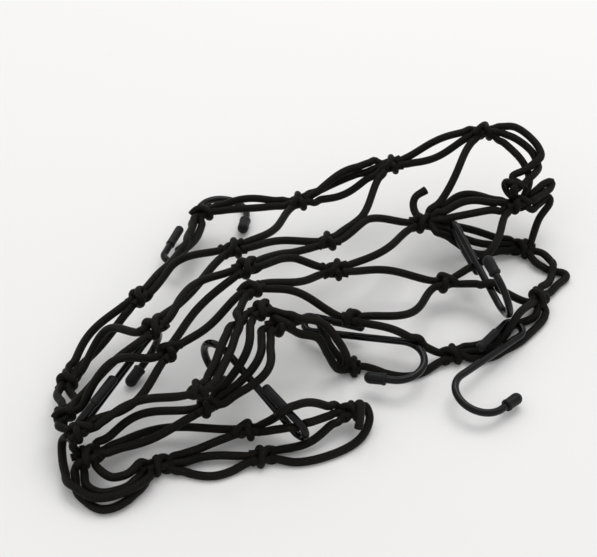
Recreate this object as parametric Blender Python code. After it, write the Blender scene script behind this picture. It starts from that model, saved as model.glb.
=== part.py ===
"""Elastic cargo net with six wire hooks, lying in a loose heap on a flat surface.

The frame is +Z up with the surface at z = 0 and the origin under the middle of the heap.
Tables are in millimetres and degrees; MM turns them into Blender's metres.
"""
import math

import bmesh
import bpy
import numpy as np
from mathutils import Matrix

MM = 0.001

# Cord and knots
CORD_RADIUS = 2.2
KNOT_RADII = (5.6, 4.9, 4.5)      # along the knot's heading, across it, and up
KNOT_PULL = 0.35                  # how far a cord leaves along the knot's heading
CORD_STEP = 15.0                  # length of one straight facet of a cord
HOOK_GAP = 0.4                    # air between pieces that touch

# Hook: one wire with an open bend at one end and a narrow eye at the other
WIRE_RADIUS = 2.0
HOOK_LENGTH = 68.0                # outer end of the eye to the peak of the bend, wire centres
BEND_RADIUS = 14.0
TIP_LENGTH = 13.0                 # straight run after the bend
EYE_RADIUS = 5.4
RETURN_LENGTH = 30.5              # outer end of the eye to the end of the return leg
RETURN_OFFSET = 7.2               # shank to the end of the return leg

TIP_CAP_LENGTH = 9.8
TIP_CAP_RADIUS = 3.2
SLEEVE_LENGTH = 16.0
SLEEVE_RADIUS = 3.0
CAP_END = 2.3                     # rubber past the end of the wire

HEAP_CENTRE = (7.4, -11.5, 0.5)   # middle of the heap on the surface, in the tables below

# Knots: name, x, y, z, heading (degrees from +X, seen from above)
KNOTS = [
    ("A1", -61, 72, 20, 30), ("A2", -7, 72, 28, 25), ("A3", 46, 93, 38, 15),
    ("A4", 100, 106, 52, 5), ("A5", 113, 72, 38, 20), ("A6", 116, 67, 30, 10),
    ("A7", 121, 58, 5, -20), ("H1", 125, 15, 6, 80), ("H2", 75, -27, 4.2, 25),
    ("I1", 21, -36, 4.2, 5), ("B1", -92, -6, 26, 45), ("B2", -81, -44, 40, 50),
    ("B3", -73, -54, 33, 60), ("C1", -42, 22, 36, 20), ("C1b", -35, 2, 40, 30),
    ("C1c", -31, -17, 42, 35), ("C1d", -26, -33, 42, 20), ("C1e", -17, -39, 37, 15),
    ("C2", 9, 35, 30, 20), ("C3", 13, 15, 27, 5), ("C4", 20, -21, 25, -10),
    ("C5", 62, 58, 24, 15), ("C6", 73, 18, 15, 10), ("E1", -126, -52, 10, 70),
    ("E2", -124, -84, 18, 60), ("E3", -115, -99, 22, 40), ("E4", -111, -107, 13, 30),
    ("D1", -56, -86, 38, 35), ("D2", -53, -80, 20, 30), ("F1", -33, -85, 8, 5),
    ("F2", -25, -99, 4.2, 15), ("F3", -76, -105, 4.2, 10), ("G", 20, -74, 10, 5),
]

# Cords tied between two knots: from, to, bow to the left of the way along, lift
STRANDS = [
    ("A1", "A2", 2, 3), ("A1", "A2", -3, 2), ("C1", "B1", -10, -1), ("C1", "B2", 2, -2),
    ("C1", "A2", -5, 0), ("C1", "C2", 5, -1), ("C1b", "B2", -6, 2), ("C1b", "B3", -4, -3),
    ("C1b", "C2", 1, -1), ("C1b", "C3", 7, 1), ("C1c", "B3", 1, -4), ("C1c", "D1", 4, 4),
    ("C1c", "C3", -6, 1), ("C1c", "C4", 3, 2), ("C1d", "D1", -2, 4), ("C1d", "D2", 9, 10),
    ("C1e", "D2", 17, 10), ("C1e", "D2", 11, 9), ("B1", "E1", -6, -2), ("B1", "E1", 0, -4),
    ("B2", "E1", -14, 3), ("B2", "E2", 0, 4), ("B3", "E2", -3, 13), ("B3", "E3", 5, -4),
    ("D1", "E3", -9, -2), ("D2", "E4", -9, 1), ("D2", "E4", 1, -4), ("F1", "E4", -9, -2),
    ("E1", "E2", -3, 0), ("E1", "E2", 4, -2), ("E2", "E3", -3, 1), ("E3", "E4", -2, 1),
    ("F3", "F1", -1, 1), ("F3", "F2", 2, 1), ("F3", "F2", -6, -3), ("F1", "G", -7, 18),
    ("F1", "G", -9, 8), ("F2", "G", -4, -2), ("A2", "A3", 2, 5), ("A2", "A3", 2, -1),
    ("A2", "A3", -2, -5), ("A3", "C2", 4, -4), ("A3", "A4", 2, 2), ("A3", "A4", -2, -4),
    ("A4", "C5", 3, 5), ("C5", "A6", 5, 4), ("C5", "A6", 1, -1), ("C5", "A6", 12, 2),
    ("A6", "C6", 9, 5), ("C5", "A7", 3, -1), ("C5", "A7", -3, -3), ("C5", "A7", -9, -5),
    ("C2", "C5", 8, 3), ("C3", "C5", -6, 3), ("C3", "C6", 4, 1), ("C4", "C6", -11, 1),
    ("C6", "H1", 0, 6), ("C4", "H2", -1, 6), ("H2", "I1", 8, -3),
]

# Cords that curl on their way: from, places passed on the way, to
LOOPS = [
    ("A1", [(-68, 45, 24), (-75, 25, 26), (-82, 12, 27)], "B1"),
    ("A1", [(-64, 52, 21), (-72, 36, 24), (-69, 50, 18)], "A1"),
    ("E4", [(-116, -111, 9), (-117, -118, 6), (-111, -126, 3), (-101, -132, 3), (-89, -126, 4)], "F3"),
    ("E4", [(-112, -112, 8), (-110, -119, 5), (-100, -125, 7), (-87, -118, 6)], "F3"),
    ("E4", [(-106, -110, 9), (-98, -115, 7), (-87, -112, 8)], "F3"),
    ("E3", [(-124, -96, 12), (-122, -110, 7), (-115, -122, 7), (-103, -129, 8), (-86, -122, 8)], "F3"),
    ("G", [(27, -69, 9), (29, -76, 6), (24, -86, 3), (12, -95, 2), (-5, -101, 2)], "F2"),
    ("A6", [(126, 75, 31), (136, 84, 33), (137, 82, 31), (128, 72, 30)], "A6"),
    ("A6", [(127, 70, 28), (135, 78, 27), (136, 75, 24), (130, 70, 16)], "A7"),
    ("A4", [(117, 109, 53), (128, 98, 50), (130, 89, 46), (121, 82, 43), (114, 79, 41)], "A5"),
    ("A4", [(116, 103, 50), (126, 95, 46), (129, 86, 42), (122, 76, 40)], "A5"),
    ("A4", [(112, 100, 47), (120, 91, 43), (124, 82, 38), (122, 74, 34)], "A6"),
    ("H1", [(119, 5, 11), (112, -4, 13), (106, -12, 9), (101, -18, 5), (94, -24, 3)], "H2"),
    ("H1", [(121, 2, 4), (108, -4, 2.7), (94, -16, 2.7)], "H2"),
    ("H1", [(127, 3, 3), (119, -8, 2.7), (108, -19, 2.7), (92, -27, 2.7)], "H2"),
    ("A7", [(132, 52, 6), (136, 42, 5), (131, 26, 5)], "H1"),
    ("A7", [(129, 45, 4), (143, 38, 3), (138, 30, 3), (130, 22, 4)], "H1"),
    ("C1d", [(-9, -34, 38), (5, -34, 34), (13, -38, 26), (18, -38, 14)], "I1"),
    ("C1e", [(-6, -39, 31), (3, -39, 28), (8, -39, 17), (13, -40, 7)], "I1"),
    ("C1e", [(-8, -31, 32), (-2, -21, 26), (3, -17, 20), (6, -19, 14), (10, -27, 10)], "I1"),
]

# Loose ends that were cut after tying: from, places passed, the last one being the cut
TAILS = [
    ("C5", [(58, 66, 28), (59, 71, 32), (65, 75, 34)]),
    ("G", [(24, -74, 16), (24, -82, 15), (23, -88, 13)]),
]

# Hooks: name, x, y, z of the eye's outer end, then heading, pitch and roll of the shank
HOOKS = [
    ("hook_1", -72.6, 38.8, 10.8, 82, -5, 185), ("hook_2", -117, -91, 13.1, 53, 22, -72),
    ("hook_3", 79, 51, 31.5, -65, -19.5, 104), ("hook_4", -5.7, -89.4, 6.2, 139.5, 31.5, -96),
    ("hook_5", -4.8, -13.6, 9, -13, 4, 183), ("hook_6", 115.5, -11.5, 6.2, -135, 5.8, -9.5),
]


# ---- routes, in millimetres ----

KNOT_PLACE = {name: np.array((x, y, z), float) for name, x, y, z, heading in KNOTS}
KNOT_HEADING = {name: math.radians(heading) for name, x, y, z, heading in KNOTS}


def unit(vector):
    return vector / np.linalg.norm(vector)


def leaving(knot, towards):
    """Direction in which a cord leaves a knot: towards its far end, pulled along the heading."""
    along = np.array((math.cos(KNOT_HEADING[knot]), math.sin(KNOT_HEADING[knot]), 0.0))
    if along @ towards < 0:
        along = -along
    return unit(unit(towards) * (1 - KNOT_PULL) + along * KNOT_PULL)


def strand_route(first, last, bow, lift):
    """A smooth cord between two knots, bowed sideways and up by the given amounts."""
    start, end = KNOT_PLACE[first], KNOT_PLACE[last]
    span = end - start
    length = np.linalg.norm(span)
    out, back = leaving(first, span) * length, leaving(last, span) * length
    side = unit(np.array((-span[1], span[0], 0.0)))
    points = []
    count = max(3, round(length / CORD_STEP))
    for t in np.linspace(0, 1, count + 1):
        point = start * (2 * t**3 - 3 * t**2 + 1) + end * (3 * t**2 - 2 * t**3)
        point = point + out * (t**3 - 2 * t**2 + t) + back * (t**3 - t**2)
        hump = 16 * t**2 * (1 - t)**2
        points.append(point + hump * (side * bow + np.array((0, 0, lift))))
    return points


def through(places, step):
    """A smooth route through the places, with a point about every step along it."""
    places = [np.array(place, float) for place in places]
    ends = [2 * places[0] - places[1]] + places + [2 * places[-1] - places[-2]]
    points = [places[0]]
    for before, here, there, after in zip(ends, ends[1:], ends[2:], ends[3:]):
        count = max(1, round(np.linalg.norm(there - here) / step))
        for t in np.arange(1, count + 1) / count:
            bend = 2 * before - 5 * here + 4 * there - after
            twist = 3 * (here - there) + after - before
            points.append(0.5 * (2 * here + (there - before) * t + bend * t**2 + twist * t**3))
    return points


def cord_routes():
    """Every cord of the net as a list of points."""
    routes = [strand_route(*row) for row in STRANDS]
    for first, places, last in LOOPS:
        routes.append(through([KNOT_PLACE[first], *places, KNOT_PLACE[last]], CORD_STEP * 0.8))
    for first, places in TAILS:
        routes.append(through([KNOT_PLACE[first], *places], CORD_STEP * 0.8))
    return routes


def hook_outline():
    """The wire's centre line in its own plane: along the shank, and across it."""
    points = [(RETURN_LENGTH, -RETURN_OFFSET)]
    for angle in np.radians(np.linspace(270, 90, 7)):
        points.append((EYE_RADIUS + EYE_RADIUS * math.cos(angle), -EYE_RADIUS + EYE_RADIUS * math.sin(angle)))
    bend_start = HOOK_LENGTH - BEND_RADIUS
    for angle in np.radians(np.linspace(-90, 90, 11)):
        points.append((bend_start + BEND_RADIUS * math.cos(angle), BEND_RADIUS + BEND_RADIUS * math.sin(angle)))
    points.append((bend_start - TIP_LENGTH, 2 * BEND_RADIUS))
    return points


def hook_route(x, y, z, heading, pitch, roll):
    """The wire's centre line where the hook lies."""
    heading, pitch, roll = math.radians(heading), math.radians(pitch), math.radians(roll)
    shank = np.array((math.cos(pitch) * math.cos(heading), math.cos(pitch) * math.sin(heading), math.sin(pitch)))
    left = np.array((-math.sin(heading), math.cos(heading), 0.0))
    across = left * math.cos(roll) + np.cross(shank, left) * math.sin(roll)
    return [np.array((x, y, z)) + shank * u + across * v for u, v in hook_outline()]


# ---- shapes ----

def clear_scene():
    for item in list(bpy.data.objects):
        bpy.data.objects.remove(item, do_unlink=True)


def make_collection(name):
    collection = bpy.data.collections.new(name)
    bpy.context.scene.collection.children.link(collection)
    return collection


def make_material(name, color, roughness, metallic=0.0):
    material = bpy.data.materials.new(name)
    material.use_nodes = True
    shader = material.node_tree.nodes["Principled BSDF"]
    shader.inputs["Base Color"].default_value = (*color, 1.0)
    shader.inputs["Roughness"].default_value = roughness
    shader.inputs["Metallic"].default_value = metallic
    return material


def add_object(name, mesh, collection, material):
    item = bpy.data.objects.new(name, mesh)
    collection.objects.link(item)
    if material is not None:
        mesh.materials.clear()
        mesh.materials.append(material)
    return item


def tube_mesh(name, routes, radius, resolution, swell=None):
    """Round closed tubes along the routes, as one mesh; swell scales the radius point by point."""
    curve = bpy.data.curves.new(name + "_curve", "CURVE")
    curve.dimensions = "3D"
    curve.bevel_depth = radius * MM
    curve.bevel_resolution = resolution
    curve.use_fill_caps = True
    for route in routes:
        spline = curve.splines.new("POLY")
        spline.points.add(len(route) - 1)
        for point, place, factor in zip(spline.points, route, swell or [1.0] * len(route)):
            point.co = (*(place * MM), 1.0)
            point.radius = factor
    guide = bpy.data.objects.new(name + "_guide", curve)
    bpy.context.scene.collection.objects.link(guide)
    bpy.context.view_layer.update()
    evaluated = guide.evaluated_get(bpy.context.evaluated_depsgraph_get())
    mesh = bpy.data.meshes.new_from_object(evaluated)
    bpy.data.objects.remove(guide, do_unlink=True)
    bpy.data.curves.remove(curve)
    weld = bmesh.new()
    weld.from_mesh(mesh)
    bmesh.ops.remove_doubles(weld, verts=weld.verts, dist=0.00001)
    bmesh.ops.recalc_face_normals(weld, faces=weld.faces)
    weld.to_mesh(mesh)
    weld.free()
    return mesh


def knots_mesh(name):
    """Every knot as a squashed ball turned to its heading, as one mesh."""
    balls = bmesh.new()
    for knot, place in KNOT_PLACE.items():
        made = bmesh.ops.create_uvsphere(balls, u_segments=8, v_segments=5, radius=MM)
        bmesh.ops.scale(balls, vec=KNOT_RADII, verts=made["verts"])
        turn = Matrix.Rotation(KNOT_HEADING[knot], 3, "Z")
        bmesh.ops.rotate(balls, cent=(0, 0, 0), matrix=turn, verts=made["verts"])
        bmesh.ops.translate(balls, vec=place * MM, verts=made["verts"])
    mesh = bpy.data.meshes.new(name)
    balls.to_mesh(mesh)
    balls.free()
    return mesh


def boolean(item, operation, other):
    """Join or cut item with other, which is then removed, and apply the result."""
    modifier = item.modifiers.new(operation.title(), "BOOLEAN")
    modifier.operation = operation
    modifier.object = other
    modifier.solver = "EXACT"
    modifier.use_self = True
    bpy.context.view_layer.update()
    evaluated = item.evaluated_get(bpy.context.evaluated_depsgraph_get())
    mesh = bpy.data.meshes.new_from_object(evaluated)
    item.modifiers.clear()
    item.data = mesh
    bpy.data.objects.remove(other, do_unlink=True)


def end_run(route, length, reach):
    """The last straight length of a route, drawn out past its end by reach."""
    along = unit(route[-1] - route[-2])
    return route[-1] - along * length, route[-1] + along * reach, along


def cap_mesh(name, route, length, radius):
    """A round-ended rubber cup's outside, over the end of a wire."""
    start, end, along = end_run(route, length, CAP_END)
    places = [start]
    swell = [1.0]
    for angle in np.radians((0, 40, 65, 80)):
        places.append(end - along * radius * (1 - math.sin(angle)))
        swell.append(math.cos(angle))
    return tube_mesh(name, [places], radius, 2, swell)


def rubber_runs(number, route):
    """The two rubber pieces of a hook: name, the route they end, length and radius."""
    return [("tip_cap_" + number, route, TIP_CAP_LENGTH, TIP_CAP_RADIUS),
            ("sleeve_" + number, route[::-1], SLEEVE_LENGTH, SLEEVE_RADIUS)]


def fat_wire(name, route, scratch):
    """A cutter a little larger than a wire."""
    run = [end_run(route[::-1], 0, HOOK_GAP)[1], *route[1:-1], end_run(route, 0, HOOK_GAP)[1]]
    return add_object(name, tube_mesh(name, [run], WIRE_RADIUS + HOOK_GAP, 2), scratch, None)


def build_net(collection, scratch, material):
    """All cords and knots as one solid, grooved where hooks touch it and flat where it rests."""
    net = add_object("net", tube_mesh("net", cord_routes(), CORD_RADIUS, 1), collection, material)
    knots = add_object("knots", knots_mesh("knots"), scratch, None)
    boolean(net, "UNION", knots)
    for name, *pose in HOOKS:
        route = hook_route(*pose)
        boolean(net, "DIFFERENCE", fat_wire(name + "_groove", route, scratch))
        for rubber, run, length, radius in rubber_runs(name[-1], route):
            groove = cap_mesh(rubber, run, length + HOOK_GAP, radius + HOOK_GAP)
            boolean(net, "DIFFERENCE", add_object(rubber + "_groove", groove, scratch, None))
    boolean(net, "DIFFERENCE", floor_block(scratch))
    net.data.materials.clear()
    net.data.materials.append(material)


def floor_block(scratch):
    """Everything under the surface the heap lies on."""
    block = bmesh.new()
    bmesh.ops.create_cube(block, size=0.4)
    bmesh.ops.translate(block, vec=(0, 0, HEAP_CENTRE[2] * MM - 0.2), verts=block.verts)
    mesh = bpy.data.meshes.new("floor")
    block.to_mesh(mesh)
    block.free()
    return add_object("floor", mesh, scratch, None)


def build_hook(name, pose, collection, scratch, coating, rubber):
    """One wire with a cup on its tip and a longer one on its return leg."""
    route = hook_route(*pose)
    wire = tube_mesh(name, [route], WIRE_RADIUS, 2)
    add_object(name, wire, collection, coating)
    for part, run, length, radius in rubber_runs(name[-1], route):
        cup = add_object(part, cap_mesh(part, run, length, radius), collection, rubber)
        boolean(cup, "DIFFERENCE", fat_wire(part + "_bore", route, scratch))
        cup.data.materials.clear()
        cup.data.materials.append(rubber)


def move_to_centre(collection):
    for item in collection.objects:
        item.data.transform(Matrix.Translation(-MM * np.array(HEAP_CENTRE)))


def build_all():
    clear_scene()
    parts = make_collection("cargo_net")
    scratch = make_collection("cutters")
    cord_black = make_material("cord_black", (0.012, 0.011, 0.010), 0.85)
    coating_black = make_material("coating_black", (0.010, 0.010, 0.011), 0.15)
    rubber_grey = make_material("rubber_grey", (0.020, 0.020, 0.021), 0.45)
    build_net(parts, scratch, cord_black)
    for name, *pose in HOOKS:
        build_hook(name, pose, parts, scratch, coating_black, rubber_grey)
    move_to_centre(parts)


build_all()
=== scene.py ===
# %% [markdown]
# # An elastic cargo net, lying in a loose heap
#
# The net is knotted from one kind of elastic cord: a stretchy core in a black braided cover.
# Loose wire hooks, coated black and with rubber on their ends, slide on its border cords.
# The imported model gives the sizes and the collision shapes. This script makes what is seen.

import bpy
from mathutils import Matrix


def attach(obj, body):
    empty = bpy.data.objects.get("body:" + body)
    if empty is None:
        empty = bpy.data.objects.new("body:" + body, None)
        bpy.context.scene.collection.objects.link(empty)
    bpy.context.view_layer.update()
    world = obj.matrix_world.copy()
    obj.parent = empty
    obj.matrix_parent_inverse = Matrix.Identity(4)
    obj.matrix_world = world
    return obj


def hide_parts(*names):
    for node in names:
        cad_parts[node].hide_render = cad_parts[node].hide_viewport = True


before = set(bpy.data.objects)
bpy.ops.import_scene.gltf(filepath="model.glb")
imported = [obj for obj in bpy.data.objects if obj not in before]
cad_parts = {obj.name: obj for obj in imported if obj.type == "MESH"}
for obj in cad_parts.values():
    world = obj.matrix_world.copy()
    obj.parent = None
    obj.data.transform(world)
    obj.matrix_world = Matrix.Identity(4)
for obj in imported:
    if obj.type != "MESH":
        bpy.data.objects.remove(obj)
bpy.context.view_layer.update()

# %% Tools, and the unit of the tables
import math
import random

import bpy
import numpy as np
from mathutils import Vector
from mathutils.kdtree import KDTree

MM = 0.001
rng = random.Random(11)

# %% [markdown]
# ## The net as it lies
#
# A knotted net has no plan that can be drawn with a formula once it has been dropped in a heap.
# So the knots are listed by place, and each cord says which knots it joins and how far it bows.
# The lists are in millimetres, with the middle of the heap at HEAP_CENTRE.

# %% Knots of the net
HEAP_CENTRE = np.array((7.4, -11.5, 0.5))

# Knots: name, x, y, z, heading (degrees from +X, seen from above)
KNOTS = [
    ("A1", -61, 72, 20, 30), ("A2", -7, 72, 28, 25), ("A3", 46, 93, 38, 15),
    ("A4", 100, 106, 52, 5), ("A5", 113, 72, 38, 20), ("A6", 116, 67, 30, 10),
    ("A7", 121, 58, 5, -20), ("H1", 125, 15, 6, 80), ("H2", 75, -27, 4.2, 25),
    ("I1", 21, -36, 4.2, 5), ("B1", -92, -6, 26, 45), ("B2", -81, -44, 40, 50),
    ("B3", -73, -54, 33, 60), ("C1", -42, 22, 36, 20), ("C1b", -35, 2, 40, 30),
    ("C1c", -31, -17, 42, 35), ("C1d", -26, -33, 42, 20), ("C1e", -17, -39, 37, 15),
    ("C2", 9, 35, 30, 20), ("C3", 13, 15, 27, 5), ("C4", 20, -21, 25, -10),
    ("C5", 62, 58, 24, 15), ("C6", 73, 18, 15, 10), ("E1", -126, -52, 10, 70),
    ("E2", -124, -84, 18, 60), ("E3", -115, -99, 22, 40), ("E4", -111, -107, 13, 30),
    ("D1", -56, -86, 38, 35), ("D2", -53, -80, 20, 30), ("F1", -33, -85, 8, 5),
    ("F2", -25, -99, 4.2, 15), ("F3", -76, -105, 4.2, 10), ("G", 20, -74, 10, 5),
]
KNOT_PLACE = {name: np.array((x, y, z)) - HEAP_CENTRE for name, x, y, z, heading in KNOTS}
KNOT_HEADING = {name: math.radians(heading) for name, x, y, z, heading in KNOTS}
print(len(KNOTS), "knots")

# %% Cords of the net
# Cords tied between two knots: from, to, bow to the left of the way along, lift
STRANDS = [
    ("A1", "A2", 2, 3), ("A1", "A2", -3, 2), ("C1", "B1", -10, -1), ("C1", "B2", 2, -2),
    ("C1", "A2", -5, 0), ("C1", "C2", 5, -1), ("C1b", "B2", -6, 2), ("C1b", "B3", -4, -3),
    ("C1b", "C2", 1, -1), ("C1b", "C3", 7, 1), ("C1c", "B3", 1, -4), ("C1c", "D1", 4, 4),
    ("C1c", "C3", -6, 1), ("C1c", "C4", 3, 2), ("C1d", "D1", -2, 4), ("C1d", "D2", 9, 10),
    ("C1e", "D2", 17, 10), ("C1e", "D2", 11, 9), ("B1", "E1", -6, -2), ("B1", "E1", 0, -4),
    ("B2", "E1", -14, 3), ("B2", "E2", 0, 4), ("B3", "E2", -3, 13), ("B3", "E3", 5, -4),
    ("D1", "E3", -9, -2), ("D2", "E4", -9, 1), ("D2", "E4", 1, -4), ("F1", "E4", -9, -2),
    ("E1", "E2", -3, 0), ("E1", "E2", 4, -2), ("E2", "E3", -3, 1), ("E3", "E4", -2, 1),
    ("F3", "F1", -1, 1), ("F3", "F2", 2, 1), ("F3", "F2", -6, -3), ("F1", "G", -7, 18),
    ("F1", "G", -9, 8), ("F2", "G", -4, -2), ("A2", "A3", 2, 5), ("A2", "A3", 2, -1),
    ("A2", "A3", -2, -5), ("A3", "C2", 4, -4), ("A3", "A4", 2, 2), ("A3", "A4", -2, -4),
    ("A4", "C5", 3, 5), ("C5", "A6", 5, 4), ("C5", "A6", 1, -1), ("C5", "A6", 12, 2),
    ("A6", "C6", 9, 5), ("C5", "A7", 3, -1), ("C5", "A7", -3, -3), ("C5", "A7", -9, -5),
    ("C2", "C5", 8, 3), ("C3", "C5", -6, 3), ("C3", "C6", 4, 1), ("C4", "C6", -11, 1),
    ("C6", "H1", 0, 6), ("C4", "H2", -1, 6), ("H2", "I1", 8, -3),
]
# Border and folded cords: from, the places they pass, to
LOOPS = [
    ("A1", [(-68, 45, 24), (-75, 25, 26), (-82, 12, 27)], "B1"),
    ("A1", [(-64, 52, 21), (-72, 36, 24), (-69, 50, 18)], "A1"),
    ("E4", [(-116, -111, 9), (-117, -118, 6), (-111, -126, 3), (-101, -132, 3), (-89, -126, 4)], "F3"),
    ("E4", [(-112, -112, 8), (-110, -119, 5), (-100, -125, 7), (-87, -118, 6)], "F3"),
    ("E4", [(-106, -110, 9), (-98, -115, 7), (-87, -112, 8)], "F3"),
    ("E3", [(-124, -96, 12), (-122, -110, 7), (-115, -122, 7), (-103, -129, 8), (-86, -122, 8)], "F3"),
    ("G", [(27, -69, 9), (29, -76, 6), (24, -86, 3), (12, -95, 2), (-5, -101, 2)], "F2"),
    ("A6", [(126, 75, 31), (136, 84, 33), (137, 82, 31), (128, 72, 30)], "A6"),
    ("A6", [(127, 70, 28), (135, 78, 27), (136, 75, 24), (130, 70, 16)], "A7"),
    ("A4", [(117, 109, 53), (128, 98, 50), (130, 89, 46), (121, 82, 43), (114, 79, 41)], "A5"),
    ("A4", [(116, 103, 50), (126, 95, 46), (129, 86, 42), (122, 76, 40)], "A5"),
    ("A4", [(112, 100, 47), (120, 91, 43), (124, 82, 38), (122, 74, 34)], "A6"),
    ("H1", [(119, 5, 11), (112, -4, 13), (106, -12, 9), (101, -18, 5), (94, -24, 3)], "H2"),
    ("H1", [(121, 2, 4), (108, -4, 2.7), (94, -16, 2.7)], "H2"),
    ("H1", [(127, 3, 3), (119, -8, 2.7), (108, -19, 2.7), (92, -27, 2.7)], "H2"),
    ("A7", [(132, 52, 6), (136, 42, 5), (131, 26, 5)], "H1"),
    ("A7", [(129, 45, 4), (143, 38, 3), (138, 30, 3), (130, 22, 4)], "H1"),
    ("C1d", [(-9, -34, 38), (5, -34, 34), (13, -38, 26), (18, -38, 14)], "I1"),
    ("C1e", [(-6, -39, 31), (3, -39, 28), (8, -39, 17), (13, -40, 7)], "I1"),
    ("C1e", [(-8, -31, 32), (-2, -21, 26), (3, -17, 20), (6, -19, 14), (10, -27, 10)], "I1"),
]
# Cut ends left at a knot: from, the places they pass
TAILS = [
    ("C5", [(58, 66, 28), (59, 71, 32), (65, 75, 34)]),
    ("G", [(24, -74, 16), (24, -82, 15), (23, -88, 13)]),
]
print(len(STRANDS), "tied cords,", len(LOOPS), "border and folded cords,", len(TAILS), "cut ends")

# %% Hooks on the net
# Hooks: name, x, y, z of the eye's outer end, then heading, pitch and roll of the shank
HOOKS = [
    ("hook_1", -72.6, 38.8, 10.8, 82, -5, 185), ("hook_2", -117, -91, 13.1, 53, 22, -72),
    ("hook_3", 79, 51, 31.5, -65, -19.5, 104), ("hook_4", -5.7, -89.4, 6.2, 139.5, 31.5, -96),
    ("hook_5", -4.8, -13.6, 9, -13, 4, 183), ("hook_6", 115.5, -11.5, 6.2, -135, 5.8, -9.5),
]
print(len(HOOKS), "hooks")

# %% [markdown]
# ## From lists to smooth lines
#
# A real elastic cord leaves its knot in the direction the knot points, then springs in one
# easy curve to the next. A Hermite curve does just that: it takes two ends and two directions.
# Where a cord folds or goes round something, a Catmull-Rom curve passes through each place.

# %% Sizes of the cord
CORD_RADIUS = 2.2
KNOT_CORD_RADIUS = 1.95          # the cord is squeezed where it is knotted
KNOT_PULL = 0.35                 # how far a cord leaves along the knot's heading
KNOT_REACH = 3.2                 # from a knot's middle to where its cords begin
PORT_SPACING = 3.3               # between cords that leave a knot on the same side
FINE_STEP = 1.1                  # spacing of the points along a finished cord


def unit(vector):
    return vector / np.linalg.norm(vector)


def heading_of(knot):
    return np.array((math.cos(KNOT_HEADING[knot]), math.sin(KNOT_HEADING[knot]), 0.0))


def leaving(knot, towards):
    """Direction in which a cord leaves a knot: towards its far end, pulled along the heading."""
    along = heading_of(knot)
    if along @ towards < 0:
        along = -along
    return unit(unit(towards) * (1 - KNOT_PULL) + along * KNOT_PULL)


# %% Which cords leave each side of a knot
def cord_ends():
    """For each knot and side, the cords that leave there and the places they head for."""
    ends = {}

    def note(knot, cord, target):
        towards = target - KNOT_PLACE[knot]
        side = 1 if heading_of(knot) @ towards >= 0 else -1
        ends.setdefault((knot, side), []).append((cord, towards))

    for number, (first, last, bow, lift) in enumerate(STRANDS):
        middle = (KNOT_PLACE[first] + KNOT_PLACE[last]) / 2
        span = KNOT_PLACE[last] - KNOT_PLACE[first]
        middle = middle + unit(np.array((-span[1], span[0], 0.0))) * bow
        note(first, ("strand", number, 0), middle)
        note(last, ("strand", number, 1), middle)
    for number, (first, places, last) in enumerate(LOOPS):
        note(first, ("loop", number, 0), np.array(places[0]) - HEAP_CENTRE)
        note(last, ("loop", number, 1), np.array(places[-1]) - HEAP_CENTRE)
    return ends


def port_places(ends):
    """A starting place for each cord at its knot, so that cords lie side by side there."""
    ports = {}
    for (knot, side), cords in ends.items():
        along = heading_of(knot) * side
        left = np.array((-along[1], along[0], 0.0))
        ranked = sorted(cords, key=lambda entry: (unit(entry[1]) @ left, entry[0]))
        for rank, (cord, towards) in enumerate(ranked):
            offset = (rank - (len(ranked) - 1) / 2) * PORT_SPACING * min(1, 2.2 / len(ranked))
            ports[cord] = KNOT_PLACE[knot] + along * KNOT_REACH + left * offset
    return ports


knot_ends = cord_ends()
ports = port_places(knot_ends)
print(len(ports), "cord ends at knots")


# %% Curves for the cords
def strand_line(number, first, last, bow, lift):
    start, end = ports["strand", number, 0], ports["strand", number, 1]
    span = KNOT_PLACE[last] - KNOT_PLACE[first]
    length = np.linalg.norm(span)
    out, back = leaving(first, span) * length, leaving(last, span) * length
    side = unit(np.array((-span[1], span[0], 0.0)))
    t = np.linspace(0, 1, max(8, round(length / FINE_STEP)) + 1)[:, None]
    line = start * (2 * t**3 - 3 * t**2 + 1) + end * (3 * t**2 - 2 * t**3)
    line = line + out * (t**3 - 2 * t**2 + t) + back * (t**3 - t**2)
    return line + 16 * t**2 * (1 - t) ** 2 * (side * bow + np.array((0, 0, lift)))


def through(places, step=FINE_STEP):
    """A smooth line through the places, with a point about every step along it."""
    places = [np.array(place, float) for place in places]
    ends = [2 * places[0] - places[1]] + places + [2 * places[-1] - places[-2]]
    line = [places[0]]
    for before, here, there, after in zip(ends, ends[1:], ends[2:], ends[3:]):
        count = max(1, round(np.linalg.norm(there - here) / step))
        for t in np.arange(1, count + 1) / count:
            bend = 2 * before - 5 * here + 4 * there - after
            twist = 3 * (here - there) + after - before
            line.append(0.5 * (2 * here + (there - before) * t + bend * t**2 + twist * t**3))
    return np.array(line)


def loop_line(number, first, places, last):
    middle = [np.array(place) - HEAP_CENTRE for place in places]
    return through([ports["loop", number, 0], *middle, ports["loop", number, 1]])


def tail_line(first, places):
    return through([KNOT_PLACE[first]] + [np.array(place) - HEAP_CENTRE for place in places])


cord_lines = [strand_line(number, *row) for number, row in enumerate(STRANDS)]
cord_lines += [loop_line(number, *row) for number, row in enumerate(LOOPS)]
tail_lines = [tail_line(*row) for row in TAILS]
print("points along the cords:", sum(len(line) for line in cord_lines + tail_lines))

# %% [markdown]
# ## The hooks' wires
#
# A hook is one length of steel wire with a black coating. One end is bent back on itself into
# a narrow eye that runs on a cord. The other makes a wide open bend. The wire's middle line
# is worked out here, because the cords have to be laid clear of it before they are made.

# %% Sizes and line of a hook
WIRE_RADIUS = 2.0
HOOK_LENGTH = 68.0
BEND_RADIUS = 14.0
TIP_LENGTH = 13.0
EYE_RADIUS = 5.4
RETURN_LENGTH = 30.5
RETURN_OFFSET = 7.2


def arc_points(centre, radius, first, last, count):
    angles = np.radians(np.linspace(first, last, count))
    return [(centre[0] + radius * math.cos(a), centre[1] + radius * math.sin(a)) for a in angles]


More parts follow.
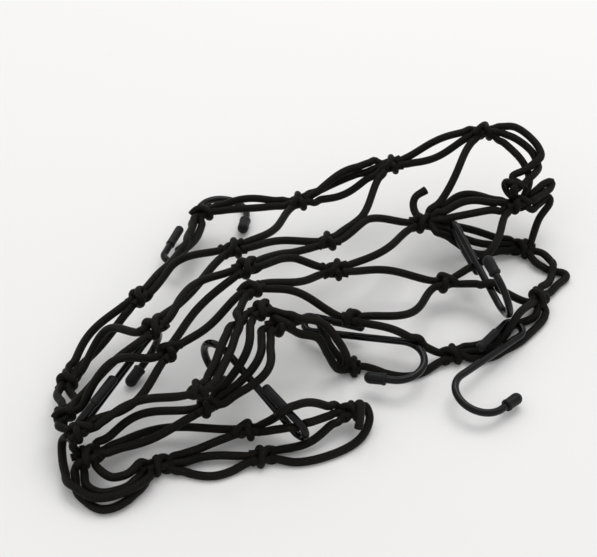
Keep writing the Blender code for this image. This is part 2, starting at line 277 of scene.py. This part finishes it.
def hook_outline():
    """The wire's middle line in its own plane: along the shank, and across it."""
    bend_start = HOOK_LENGTH - BEND_RADIUS
    points = [(RETURN_LENGTH, -RETURN_OFFSET)]
    points += arc_points((EYE_RADIUS, -EYE_RADIUS), EYE_RADIUS, 270, 90, 25)
    points += arc_points((bend_start, BEND_RADIUS), BEND_RADIUS, -90, 90, 41)
    return points + [(bend_start - TIP_LENGTH, 2 * BEND_RADIUS)]


def hook_line(x, y, z, heading, pitch, roll):
    heading, pitch, roll = math.radians(heading), math.radians(pitch), math.radians(roll)
    level = np.array((math.cos(heading), math.sin(heading), 0.0))
    shank = level * math.cos(pitch) + np.array((0.0, 0.0, math.sin(pitch)))
    left = np.array((-math.sin(heading), math.cos(heading), 0.0))
    across = left * math.cos(roll) + np.cross(shank, left) * math.sin(roll)
    eye_end = np.array((x, y, z)) - HEAP_CENTRE
    return np.array([eye_end + shank * u + across * v for u, v in hook_outline()])


def evened(line, step):
    """The same line with points at equal steps."""
    lengths = np.concatenate(([0], np.cumsum(np.linalg.norm(np.diff(line, axis=0), axis=1))))
    places = np.linspace(0, lengths[-1], max(2, round(lengths[-1] / step) + 1))
    return np.stack([np.interp(places, lengths, line[:, axis]) for axis in range(3)], axis=1)


hook_lines = {name: hook_line(*pose) for name, *pose in HOOKS}
wire_length = evened(hook_lines["hook_1"], 1.0).shape[0] - 1
print("wire in one hook, millimetres:", wire_length)

# %% [markdown]
# ## Laying the cords on each other
#
# Drawn lines run through each other where they cross. Real cords push each other aside. This
# step does the same: wherever two cords, or a cord and a hook, are closer than they can be,
# the cord's points move apart a little, and the moves are smoothed along the cord so that it
# bends and never kinks. A few dozen rounds settle the heap.

# %% Push cords apart, away from hooks and off the floor
SETTLE_ROUNDS = 30
KNOT_ZONE = 8.0                  # inside it, cords may meet: the knot covers them
OWN_NEIGHBOURS = 10              # points along a cord that it can't bump into
HELD_POINTS = 4                  # points at each end of a cord that its knot holds back
CORD_PUSH = 0.2                  # share of an overlap that one round takes away, cord to cord
HOOK_PUSH = 0.6                  # the same, cord to hook
LARGEST_MOVE = 1.2
FLOOR_DENT = 0.25                # how far a cord flattens where it rests
SMOOTHING = np.array((1, 3, 6, 7, 6, 3, 1)) / 27
obstacles = np.concatenate([evened(line, 1.0) for line in hook_lines.values()])


def tree_of(points):
    tree = KDTree(len(points))
    for number, point in enumerate(points):
        tree.insert(point, number)
    tree.balance()
    return tree


def smoothed(moves):
    padded = np.pad(moves, ((3, 3), (0, 0)), mode="edge")
    return np.stack([np.convolve(padded[:, axis], SMOOTHING, "valid") for axis in range(3)], axis=1)


def settle(lines, rounds):
    """Moves the lines' points in place until they clear each other and the hooks."""
    owners = np.concatenate([np.full(len(line), number) for number, line in enumerate(lines)])
    order = np.concatenate([np.arange(len(line)) for line in lines])
    knots = tree_of(list(KNOT_PLACE.values()))
    hooks = tree_of(obstacles)
    starts = np.cumsum([0] + [len(line) for line in lines])
    free = [np.clip(np.minimum(np.arange(len(line)), np.arange(len(line))[::-1]) / HELD_POINTS, 0, 1)[:, None]
            for line in lines]
    for _ in range(rounds):
        points = np.concatenate(lines)
        tree = tree_of(points)
        moves = np.zeros_like(points)
        for number, point in enumerate(points):
            in_knot = knots.find(point)[2] < KNOT_ZONE
            for place, other, distance in tree.find_range(point, 2 * CORD_RADIUS):
                same = owners[other] == owners[number]
                if distance < 0.001 or in_knot or same and abs(order[other] - order[number]) < OWN_NEIGHBOURS:
                    continue
                away = (point - np.array(place)) / distance
                moves[number] += away * (2 * CORD_RADIUS - distance) * CORD_PUSH
            place, other, distance = hooks.find(point)
            gap = CORD_RADIUS + WIRE_RADIUS
            if distance < gap:
                away = (point - np.array(place)) / max(distance, 0.01)
                moves[number] += away * (gap - distance) * HOOK_PUSH
        for number, line in enumerate(lines):
            piece = slice(starts[number], starts[number + 1])
            line += smoothed(np.clip(moves[piece], -LARGEST_MOVE, LARGEST_MOVE)) * free[number]
            line[:, 2] = np.maximum(line[:, 2], CORD_RADIUS - FLOOR_DENT)


settle(cord_lines, SETTLE_ROUNDS)
print("lowest cord middle, millimetres:", round(min(line[:, 2].min() for line in cord_lines), 2))

# %% [markdown]
# ## A tube that carries a braid
#
# Blender's own curve bevel makes good tubes but rough UVs. The braid needs UVs that say how far
# along the cord a point is and how far round it, so the tube is swept here by hand: a ring of
# points is carried along the line without twisting, and every face gets its two numbers.

# %% Sweep a ring along a line
def carried_frames(line):
    """Two directions square to the line at each point, carried along it without twist."""
    along = np.gradient(line, axis=0)
    along /= np.linalg.norm(along, axis=1)[:, None]
    side = np.cross(along[0], (0.0, 0.0, 1.0))
    if np.linalg.norm(side) < 0.1:
        side = np.cross(along[0], (0.0, 1.0, 0.0))
    sides = []
    for direction in along:
        side = unit(side - direction * (side @ direction))
        sides.append(side)
    sides = np.array(sides)
    return sides, np.cross(along, sides)


CORD_SIDES = 12
TAIL_SIDES = 14
RUBBER_SIDES = 28


class Builder:
    """Gathers swept tubes and turned caps, and makes one mesh of them."""

    def __init__(self):
        self.points, self.faces, self.uvs = [], [], []

    def sweep(self, line, radii, sides, start=0.0):
        """A closed tube along the line. UVs: metres along it, and turns round it."""
        first = len(self.points)
        across, up = carried_frames(line)
        lengths = np.concatenate(([0], np.cumsum(np.linalg.norm(np.diff(line, axis=0), axis=1))))
        angles = np.arange(sides) / sides * 2 * math.pi
        for place, radius, u, v in zip(line, radii, across, up):
            for angle in angles:
                self.points.append(place + (u * math.cos(angle) + v * math.sin(angle)) * radius)
        for ring in range(len(line) - 1):
            low, high = start + lengths[ring] * MM, start + lengths[ring + 1] * MM
            for k in range(sides):
                a, b = first + ring * sides + k, first + ring * sides + (k + 1) % sides
                self.faces.append((a, b, b + sides, a + sides))
                self.uvs.append(((low, k / sides), (low, (k + 1) / sides),
                                 (high, (k + 1) / sides), (high, k / sides)))
        last = first + (len(line) - 1) * sides
        for base, flip, along in ((first, True, start), (last, False, start + lengths[-1] * MM)):
            ring = [base + k for k in range(sides)]
            self.faces.append(tuple(reversed(ring)) if flip else tuple(ring))
            self.uvs.append(((along, 0.0),) * sides)

    def make(self, name, material):
        """One object from everything gathered, resting on the floor and smooth."""
        points = np.array(self.points)
        points[:, 2] = np.maximum(points[:, 2], 0.0)
        mesh = bpy.data.meshes.new(name)
        mesh.from_pydata((points * MM).tolist(), [], self.faces)
        layer = mesh.uv_layers.new(name="AlongAround")
        layer.uv.foreach_set("vector", np.array([pair for face in self.uvs for pair in face]).ravel())
        mesh.materials.append(material)
        for face in mesh.polygons:
            face.use_smooth = len(face.vertices) == 4
        item = bpy.data.objects.new(name, mesh)
        bpy.context.scene.collection.objects.link(item)
        triangles = sum(len(face) - 2 for face in self.faces)
        print(name, "has", triangles, "triangles")
        return item


# %% [markdown]
# ## What the cord and the rubber are made of
#
# The cover of the cord is braided from black yarns that pass over and under each other, so its
# surface is small diamonds that lean left and right by turns, each made of fine threads.
# A braid is two sets of spirals. Adding and subtracting "along" and "around" gives one
# number for each set, and whichever set is on top in a diamond gives its height.

# %% Helpers for node groups
def node_group(name, inputs, outputs):
    """An empty group with float inputs (name, default) and outputs (name, type)."""
    group = bpy.data.node_groups.new(name, "ShaderNodeTree")
    for title, default in inputs:
        socket = group.interface.new_socket(title, in_out="INPUT", socket_type="NodeSocketFloat")
        socket.default_value = default
    for title, kind in outputs:
        group.interface.new_socket(title, in_out="OUTPUT", socket_type=kind)
    return group, group.nodes.new("NodeGroupInput"), group.nodes.new("NodeGroupOutput")


def calc(tree, operation, *values):
    """A Math node whose inputs are sockets or numbers; gives its output."""
    node = tree.nodes.new("ShaderNodeMath")
    node.operation = operation
    for socket, value in zip(node.inputs, values):
        if isinstance(value, bpy.types.NodeSocket):
            tree.links.new(value, socket)
        else:
            socket.default_value = value
    return node.outputs[0]


def spread(tree, value, low, high, to_low, to_high):
    """A Map Range node that clamps; gives its output."""
    node = tree.nodes.new("ShaderNodeMapRange")
    for socket, number in zip(node.inputs[1:5], (low, high, to_low, to_high)):
        socket.default_value = number
    tree.links.new(value, node.inputs[0])
    return node.outputs[0]


# %% The braid
def build_braid():
    floats = "NodeSocketFloat"
    group, given, result = node_group(
        "Braid", [("Yarns", 8.0), ("Lean", 0.0018), ("Threads", 4.0)],
        [("Height", floats), ("Gap", floats), ("Thread Highlight", floats)])
    place = group.nodes.new("ShaderNodeUVMap")
    place.uv_map = "AlongAround"
    split = group.nodes.new("ShaderNodeSeparateXYZ")
    group.links.new(place.outputs[0], split.inputs[0])
    along = calc(group, "DIVIDE", split.outputs[0], given.outputs["Lean"])
    around = calc(group, "MULTIPLY", split.outputs[1], given.outputs["Yarns"])
    right = calc(group, "ADD", around, along)
    left = calc(group, "SUBTRACT", around, along)
    right_in, left_in = calc(group, "FRACT", right), calc(group, "FRACT", left)
    parity = calc(group, "ADD", calc(group, "FLOOR", right), calc(group, "FLOOR", left))
    on_top = calc(group, "MODULO", calc(group, "ABSOLUTE", parity), 2.0)
    crest_right = calc(group, "SINE", calc(group, "MULTIPLY", right_in, math.pi))
    crest_left = calc(group, "SINE", calc(group, "MULTIPLY", left_in, math.pi))
    over = calc(group, "MULTIPLY_ADD", crest_left, 0.5, 0.5)
    under = calc(group, "MULTIPLY_ADD", crest_right, 0.5, 0.5)
    round_right = calc(group, "MULTIPLY", calc(group, "POWER", crest_right, 0.6), over)
    round_left = calc(group, "MULTIPLY", calc(group, "POWER", crest_left, 0.6), under)

    def choose(one, other):
        return calc(group, "ADD", calc(group, "MULTIPLY", on_top, one),
                    calc(group, "MULTIPLY", calc(group, "SUBTRACT", 1.0, on_top), other))

    turns = calc(group, "MULTIPLY", given.outputs["Threads"], 2 * math.pi)
    thread = choose(calc(group, "SINE", calc(group, "MULTIPLY", right_in, turns)),
                    calc(group, "SINE", calc(group, "MULTIPLY", left_in, turns)))
    height = choose(round_right, round_left)
    group.links.new(calc(group, "MULTIPLY_ADD", thread, 0.06, height), result.inputs["Height"])
    # Gap marks the low hollows between the yarns; the cord paints shade there and makes them rougher.
    group.links.new(spread(group, height, 0.1, 0.55, 1.0, 0.0), result.inputs["Gap"])
    # Lighter along the crest of each thread, where the bump is raised too: a painted highlight on the
    # threads.
    group.links.new(calc(group, "MULTIPLY_ADD", thread, 0.5, 0.5), result.inputs["Thread Highlight"])
    return group


braid = build_braid()
print("braid group has", len(braid.nodes), "nodes")


# %% [markdown]
# Use leaves traces on everything the same way: broad patches where the surface is a little
# paler, and small pale specks of dust. Cord, coating and rubber share one group for this and
# take more or less of it.

# %% Traces of use
def build_use():
    group, given, result = node_group(
        "Traces of use", [("Patch Size", 0.02), ("Speck Size", 0.0012)],
        [("Patch", "NodeSocketFloat"), ("Speck", "NodeSocketFloat"), ("Grain", "NodeSocketFloat")])
    place = group.nodes.new("ShaderNodeTexCoord")

    def noise(scale, detail):
        node = group.nodes.new("ShaderNodeTexNoise")
        node.inputs["Detail"].default_value = detail
        group.links.new(place.outputs["Object"], node.inputs["Vector"])
        group.links.new(scale, node.inputs["Scale"])
        return node.outputs[0]

    broad = noise(calc(group, "DIVIDE", 1.0, given.outputs["Patch Size"]), 3.0)
    fine = noise(calc(group, "DIVIDE", 1.0, given.outputs["Speck Size"]), 1.0)
    group.links.new(spread(group, broad, 0.35, 0.7, 0.0, 1.0), result.inputs["Patch"])
    group.links.new(spread(group, fine, 0.70, 0.78, 0.0, 1.0), result.inputs["Speck"])
    group.links.new(fine, result.inputs["Grain"])
    return group


use = build_use()
print("use group has", len(use.nodes), "nodes")


# %% Helpers for materials
def new_material(name):
    material = bpy.data.materials.new(name)
    material.use_nodes = True
    return material, material.node_tree, material.node_tree.nodes["Principled BSDF"]


def placed(tree, group, **values):
    node = tree.nodes.new("ShaderNodeGroup")
    node.node_tree = group
    for title, value in values.items():
        node.inputs[title.replace("_", " ")].default_value = value
    return node


def mixed(tree, share, one, other):
    """A colour between two, each a colour or a socket."""
    node = tree.nodes.new("ShaderNodeMix")
    node.data_type = "RGBA"
    tree.links.new(share, node.inputs[0])
    for socket, value in ((node.inputs[6], one), (node.inputs[7], other)):
        if isinstance(value, bpy.types.NodeSocket):
            tree.links.new(value, socket)
        else:
            socket.default_value = (*value, 1.0)
    return node.outputs[2]


def bump(tree, height, distance, strength=1.0):
    node = tree.nodes.new("ShaderNodeBump")
    node.inputs["Distance"].default_value = distance
    node.inputs["Strength"].default_value = strength
    tree.links.new(height, node.inputs["Height"])
    return node.outputs[0]


# %% Braided cord
def cord_material():
    material, tree, shader = new_material("braided_cord")
    weave = placed(tree, braid)
    trace = placed(tree, use)
    # The yarn colour is lighter on each thread's crest: a painted highlight along the braid.
    thread_highlit_yarn = mixed(tree, weave.outputs["Thread Highlight"], (0.0024, 0.0021, 0.0017), (0.0070, 0.0062, 0.0050))
    worn_highlit_yarn = mixed(tree, calc(tree, "MULTIPLY", trace.outputs["Patch"], 0.5), thread_highlit_yarn, (0.0110, 0.0097, 0.0080))
    # The hollows between the yarns are painted near-black: painted shade.
    gap_shaded = mixed(tree, weave.outputs["Gap"], worn_highlit_yarn, (0.0004, 0.0004, 0.0004))
    dusty = mixed(tree, calc(tree, "MULTIPLY", trace.outputs["Speck"], 0.35), gap_shaded, (0.070, 0.066, 0.060))
    tree.links.new(dusty, shader.inputs["Base Color"])
    tree.links.new(spread(tree, weave.outputs["Gap"], 0.0, 1.0, 0.46, 0.9), shader.inputs["Roughness"])
    tree.links.new(bump(tree, weave.outputs["Height"], 0.0003), shader.inputs["Normal"])
    shader.inputs["Specular IOR Level"].default_value = 0.10
    return material


cord_black = cord_material()
print("made", cord_black.name)


# %% Coated wire and rubber
def coating_material():
    material, tree, shader = new_material("black_coating")
    trace = placed(tree, use, Patch_Size=0.012, Speck_Size=0.0009)
    film = mixed(tree, calc(tree, "MULTIPLY", trace.outputs["Speck"], 0.25),
                 (0.0022, 0.0022, 0.0024), (0.05, 0.05, 0.05))
    tree.links.new(film, shader.inputs["Base Color"])
    tree.links.new(spread(tree, trace.outputs["Patch"], 0.0, 1.0, 0.10, 0.22), shader.inputs["Roughness"])
    tree.links.new(bump(tree, trace.outputs["Grain"], 0.00003), shader.inputs["Normal"])
    shader.inputs["Specular IOR Level"].default_value = 0.2
    return material


def rubber_material():
    material, tree, shader = new_material("moulded_rubber")
    trace = placed(tree, use, Patch_Size=0.006, Speck_Size=0.0006)
    film = mixed(tree, trace.outputs["Patch"], (0.0055, 0.0055, 0.0058), (0.011, 0.011, 0.011))
    dusty = mixed(tree, calc(tree, "MULTIPLY", trace.outputs["Speck"], 0.4), film, (0.06, 0.06, 0.06))
    tree.links.new(dusty, shader.inputs["Base Color"])
    tree.links.new(spread(tree, trace.outputs["Patch"], 0.0, 1.0, 0.38, 0.55), shader.inputs["Roughness"])
    tree.links.new(bump(tree, trace.outputs["Grain"], 0.00006), shader.inputs["Normal"])
    shader.inputs["Specular IOR Level"].default_value = 0.15
    return material


coating_black = coating_material()
rubber_grey = rubber_material()
print("made", coating_black.name, "and", rubber_grey.name)

# %% [markdown]
# ## The knots
#
# The meshes are tied with a weaver's knot. One pair of cords makes a bight, a tight U. The other
# comes up through it, goes round both its legs and tucks away. Both curves are listed once,
# in cord diameters, and then turned and sized for each knot so that no two look the same.

# %% Shape of one knot
BIGHT = [(-1.6, 0.75, 0.0), (-0.9, 0.62, 0.05), (-0.2, 0.6, 0.1), (0.55, 0.62, 0.05), (1.05, 0.35, -0.05),
         (1.05, -0.35, -0.05), (0.55, -0.62, 0.05), (-0.2, -0.6, 0.1), (-0.9, -0.62, 0.05),
         (-1.6, -0.75, 0.0)]
WRAP = [(1.7, 0.75, 0.0), (1.15, 0.55, -0.55), (0.55, 0.15, -0.65), (0.2, -0.05, 0.1), (0.0, -0.5, 0.75),
        (-0.2, -1.0, 0.42), (-0.35, -1.02, -0.33), (-0.45, -0.42, -0.78), (-0.45, 0.42, -0.78),
        (-0.4, 1.02, -0.33), (-0.3, 1.0, 0.42), (-0.1, 0.42, 0.86), (0.35, -0.15, 0.9),
        (0.85, -0.5, 0.7), (1.3, -0.7, 0.3), (1.7, -0.75, 0.0)]
KNOT_SIZE = 4.05                 # one knotted cord diameter
LEG_REACH = (0.85, 1.2, 1.75)    # how far both legs reach where no, one or more cords leave that side


def knot_frame(knot):
    """Heading, side and up of a knot, tipped to follow the cords that meet there."""
    slope = np.zeros(3)
    for side in (1, -1):
        for cord, towards in knot_ends.get((knot, side), ()):
            slope += unit(towards) * side
    heading = unit(heading_of(knot) + 0.5 * unit(slope))
    roll = math.radians(rng.uniform(-28, 28))
    side = unit(np.cross((0.0, 0.0, 1.0), heading))
    up = np.cross(heading, side)
    return heading, side * math.cos(roll) + up * math.sin(roll), up * math.cos(roll) - side * math.sin(roll)


def build_knots():
    builder = Builder()
    for knot, place in KNOT_PLACE.items():
        heading, side, up = knot_frame(knot)
        mirror, end = rng.choice((1, -1)), rng.choice((1, -1))
        size = KNOT_SIZE * rng.uniform(0.95, 1.06)
        for legs, shape in ((-1, BIGHT), (1, WRAP)):
            local = through(np.array(shape) * size, 0.9)
            leaving_there = len(knot_ends.get((knot, legs * end), ()))
            local = local[local[:, 0] * legs < LEG_REACH[min(leaving_there, 2)] * size]
            line = place + np.outer(local[:, 0] * end, heading)
            line = line + np.outer(local[:, 1] * mirror, side) + np.outer(local[:, 2], up)
            builder.sweep(line, np.full(len(line), KNOT_CORD_RADIUS), CORD_SIDES,
                          start=legs * 0.05)
    return builder.make("net_knots", cord_black)


net_knots = build_knots()

# %% [markdown]
# ## The cords
#
# Every cord between knots is one swept tube. It narrows a little as it enters a knot, because
# the elastic core is stretched there. The cut ends are cropped square, and their cover has
# drawn back and swollen slightly.

# %% Cords between knots, and cut ends
def cord_radii(count):
    from_end = np.minimum(np.arange(count), np.arange(count)[::-1]) * FINE_STEP
    return KNOT_CORD_RADIUS + (CORD_RADIUS - KNOT_CORD_RADIUS) * np.clip(from_end / 9, 0, 1)


def build_cords():
    builder = Builder()
    for line in cord_lines:
        builder.sweep(line, cord_radii(len(line)), CORD_SIDES, start=rng.uniform(0, 0.02))
    for line in tail_lines:
        count = len(line)
        radii = CORD_RADIUS * (1 + 0.1 * np.clip((np.arange(count) - count + 4) / 3, 0, 1))
        builder.sweep(line, radii, TAIL_SIDES)
    return builder.make("net_cords", cord_black)


net_cords = build_cords()
total = sum(np.linalg.norm(np.diff(line, axis=0), axis=1).sum() for line in cord_lines + tail_lines)
print("cord between knots, metres:", round(total * MM, 2))

# %% [markdown]
# ## Hooks with their rubber
#
# The coated wire is swept along its line. Each rubber piece is turned like a pot on a wheel:
# a profile of distance and radius, with a rolled lip where the wire goes in and a round end.

# %% Wires
def rounded_radii(line, radius):
    """Radii that round off both ends of a wire."""
    lengths = np.concatenate(([0], np.cumsum(np.linalg.norm(np.diff(line, axis=0), axis=1))))
    from_end = np.minimum(lengths, lengths[-1] - lengths)
    return np.sqrt(np.clip(1 - (1 - np.clip(from_end / 0.8, 0, 1)) ** 2 * 0.9, 0.05, 1)) * radius


def build_wire(name):
    builder = Builder()
    line = evened(hook_lines[name], 1.0)
    builder.sweep(line, rounded_radii(line, WIRE_RADIUS), 20)
    return builder.make(name + "_wire", coating_black)


wires = {name: build_wire(name) for name in hook_lines}

# %% Rubber caps and sleeves
# Distance from the lip and radius, in millimetres. The end is rounded by the formula below.
TIP_CAP = [(0.0, 2.02), (0.05, 2.75), (0.35, 3.1), (0.8, 3.28), (1.5, 3.3), (2.1, 3.12), (2.6, 3.05),
           (5.0, 3.1), (7.0, 3.16), (8.4, 3.2)]
SLEEVE = [(0.0, 2.02), (0.05, 2.3), (0.3, 2.5), (0.7, 2.58), (1.3, 2.54), (1.9, 2.46),
          (6.0, 2.46), (11.0, 2.5), (14.0, 2.52), (16.2, 2.55)]
TIP_CAP_LENGTH = 11.8
SLEEVE_TOTAL = 18.0
RUBBER_REACH = 2.0               # rubber past the end of the wire


def turned_profile(profile, total):
    """The listed profile, with an end rounded off to total length."""
    last, radius = profile[-1]
    depth = total - last
    angles = np.radians(np.linspace(8, 88, 10))
    return profile + [(last + depth * math.sin(a), radius * math.cos(a)) for a in angles]


def build_rubber(name, line, profile, total):
    """A rubber piece over the end of a wire, and a little past it."""
    along = unit(line[-1] - line[-2])
    start = line[-1] + along * (RUBBER_REACH - total)
    shape = turned_profile(profile, total)
    builder = Builder()
    builder.sweep(np.array([start + along * distance for distance, radius in shape]),
                  [radius for distance, radius in shape], RUBBER_SIDES)
    return builder.make(name, rubber_grey)


rubbers = {}
for name, line in hook_lines.items():
    number = name[-1]
    rubbers["tip_cap_" + number] = build_rubber("tip_rubber_" + number, line, TIP_CAP, TIP_CAP_LENGTH)
    rubbers["sleeve_" + number] = build_rubber("return_rubber_" + number, line[::-1], SLEEVE, SLEEVE_TOTAL)

# %% [markdown]
# ## Tying the pieces to the model
#
# Each piece rides on the one body, and stands for the plain solid of the same part.

# %% Ride and replace
for piece, slot in [(net_cords, "cord"), (net_knots, "cord")]:
    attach(piece, "root")
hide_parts("net")
for name, wire in wires.items():
    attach(wire, "root")
    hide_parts(name)
for name, piece in rubbers.items():
    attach(piece, "root")
    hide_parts(name)
print(len(wires) + len(rubbers) + 2, "pieces ride on the model")

# %% [markdown]
# ## Floor, light and camera
#
# The net lies on a white surface with no edge in view. A wide soft light above and behind makes
# faint shadows under the cords, a small one adds highlights on the coated wire, and the pale
# room fills in.

# %% Floor
def floor_material():
    material, tree, shader = new_material("white_floor")
    shader.inputs["Base Color"].default_value = (0.842, 0.834, 0.830, 1.0)
    shader.inputs["Roughness"].default_value = 0.9
    shader.inputs["Specular IOR Level"].default_value = 0.1
    return material


floor_mesh = bpy.data.meshes.new("floor")
half = 4.0
floor_corners = [(-half, -half, 0), (half, -half, 0), (half, half, 0), (-half, half, 0)]
floor_mesh.from_pydata(floor_corners, [], [(0, 1, 2, 3)])
floor_mesh.materials.append(floor_material())
floor = bpy.data.objects.new("floor", floor_mesh)
bpy.context.scene.collection.objects.link(floor)


# %% Lights
def soft_light(name, place, size, watts):
    """A square area light aimed at the heap."""
    light = bpy.data.lights.new(name, "AREA")
    light.size = size
    light.energy = watts
    item = bpy.data.objects.new(name, light)
    item.location = place
    item.rotation_euler = (Vector((0, 0, 0)) - Vector(place)).to_track_quat("-Z", "Y").to_euler()
    bpy.context.scene.collection.objects.link(item)


soft_light("key", (0.4, 0.9, 1.9), 1.3, 16)
soft_light("glint", (-0.5, 1.0, 1.3), 0.35, 1.5)
world = bpy.data.worlds.new("room")
world.use_nodes = True
world.node_tree.nodes["Background"].inputs["Color"].default_value = (1, 1, 1, 1)
world.node_tree.nodes["Background"].inputs["Strength"].default_value = 0.76
bpy.context.scene.world = world
bpy.context.scene.view_settings.view_transform = "Standard"

# %% Camera
VIEW_HEIGHT = math.radians(42)   # how far above level the view looks down
VIEW_DISTANCE = 0.9
VIEW_CENTRE = np.array((-7.0, 38.0, 0.0)) - HEAP_CENTRE
camera_data = bpy.data.cameras.new("camera")
camera_data.sensor_width = 36
camera_data.lens = 96.4
camera_data.clip_end = 20
camera = bpy.data.objects.new("camera", camera_data)
back = np.array((0.0, -math.cos(VIEW_HEIGHT), math.sin(VIEW_HEIGHT))) * VIEW_DISTANCE
camera.location = VIEW_CENTRE * MM + back
camera.rotation_euler = (math.pi / 2 - VIEW_HEIGHT, 0, 0)
bpy.context.scene.collection.objects.link(camera)
bpy.context.scene.camera = camera
